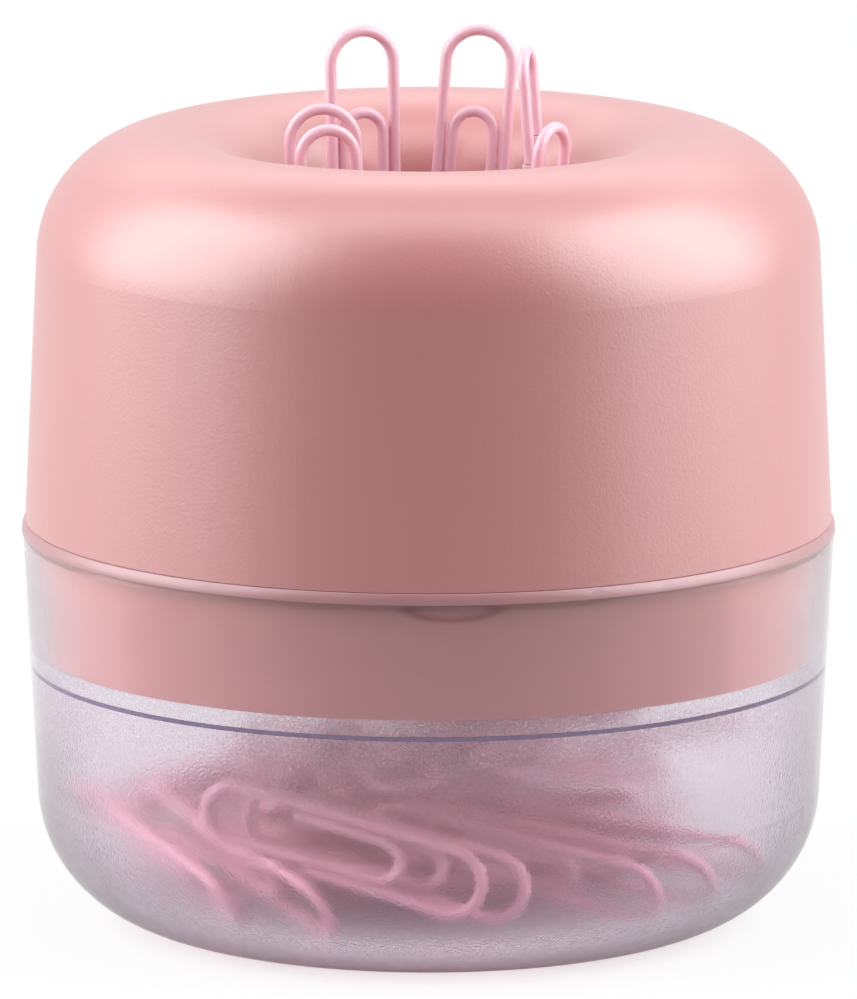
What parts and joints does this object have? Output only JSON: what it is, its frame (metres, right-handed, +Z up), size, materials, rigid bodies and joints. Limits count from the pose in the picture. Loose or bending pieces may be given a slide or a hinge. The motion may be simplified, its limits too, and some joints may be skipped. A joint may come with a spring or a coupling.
{
  "type": "magnetic paper clip holder",
  "caption": "Round desk holder for paper clips: frosted clear cup under a pink doughnut-shaped magnetic lid, with clips standing in its mouth and a heap of clips inside.",
  "frame": {"origin": "centre of the foot ring, on the table", "axes": "+Z up along the holder's axis, -Y towards the front of the picture"},
  "size_m": [0.0784, 0.0784, 0.0852],
  "materials": {
    "clear_cup": "clear moulded polystyrene, finely frosted below the lid's skirt",
    "pink_lid": "satin moulded ABS with a fine texture",
    "pink_plug": "smooth moulded ABS",
    "ferrite": "ground sintered ferrite",
    "coated_wire": "vinyl-coated steel wire with bare cut ends"
  },
  "bodies": {
    "cup": {"base_cup": "clear_cup", "loose_clip_01": "coated_wire", "loose_clip_02": "coated_wire", "loose_clip_03": "coated_wire", "loose_clip_04": "coated_wire", "loose_clip_05": "coated_wire", "loose_clip_06": "coated_wire", "loose_clip_07": "coated_wire", "loose_clip_08": "coated_wire", "loose_clip_09": "coated_wire", "loose_clip_10": "coated_wire", "loose_clip_11": "coated_wire", "loose_clip_12": "coated_wire", "loose_clip_13": "coated_wire", "loose_clip_14": "coated_wire", "loose_clip_15": "coated_wire", "loose_clip_16": "coated_wire", "loose_clip_17": "coated_wire", "loose_clip_18": "coated_wire", "loose_clip_19": "coated_wire", "loose_clip_20": "coated_wire", "loose_clip_21": "coated_wire", "loose_clip_22": "coated_wire", "loose_clip_23": "coated_wire", "loose_clip_24": "coated_wire", "loose_clip_25": "coated_wire", "loose_clip_26": "coated_wire", "loose_clip_27": "coated_wire", "loose_clip_28": "coated_wire", "loose_clip_29": "coated_wire", "loose_clip_30": "coated_wire", "loose_clip_31": "coated_wire", "loose_clip_32": "coated_wire", "loose_clip_33": "coated_wire", "loose_clip_34": "coated_wire", "loose_clip_35": "coated_wire", "loose_clip_36": "coated_wire", "loose_clip_37": "coated_wire", "loose_clip_38": "coated_wire", "loose_clip_39": "coated_wire", "loose_clip_40": "coated_wire", "loose_clip_41": "coated_wire"},
    "lid": {"lid_shell": "pink_lid", "lid_plug": "pink_plug", "ring_magnet": "ferrite"},
    "clip_back_left": {"standing_clip_back_left": "coated_wire"},
    "clip_back_right": {"standing_clip_back_right": "coated_wire"},
    "clip_right": {"standing_clip_right": "coated_wire"},
    "clip_front_left": {"standing_clip_front_left": "coated_wire"},
    "clip_left": {"standing_clip_left": "coated_wire"},
    "clip_front_right": {"standing_clip_front_right": "coated_wire"}
  },
  "joints": [
    {"name": "lid_lift", "type": "slide", "parent": "cup", "child": "lid", "axis": [0, 0, 1], "range_m": [0, 0.04]},
    {"name": "pull_clip_back_left", "type": "slide", "parent": "lid", "child": "clip_back_left", "axis": [-0.0164, -0.006, 0.9998], "range_m": [0, 0.03]},
    {"name": "pull_clip_back_right", "type": "slide", "parent": "lid", "child": "clip_back_right", "axis": [0.0783, -0.0055, 0.9969], "range_m": [0, 0.03]},
    {"name": "pull_clip_right", "type": "slide", "parent": "lid", "child": "clip_right", "axis": [-0.0773, 0.0136, 0.9969], "range_m": [0, 0.03]},
    {"name": "pull_clip_front_left", "type": "slide", "parent": "lid", "child": "clip_front_left", "axis": [-0.1025, -0.0844, 0.9912], "range_m": [0, 0.03]},
    {"name": "pull_clip_left", "type": "slide", "parent": "lid", "child": "clip_left", "axis": [-0.0348, -0.0024, 0.9994], "range_m": [0, 0.03]},
    {"name": "pull_clip_front_right", "type": "slide", "parent": "lid", "child": "clip_front_right", "axis": [0.0905, -0.0523, 0.9945], "range_m": [0, 0.03]}
  ]
}
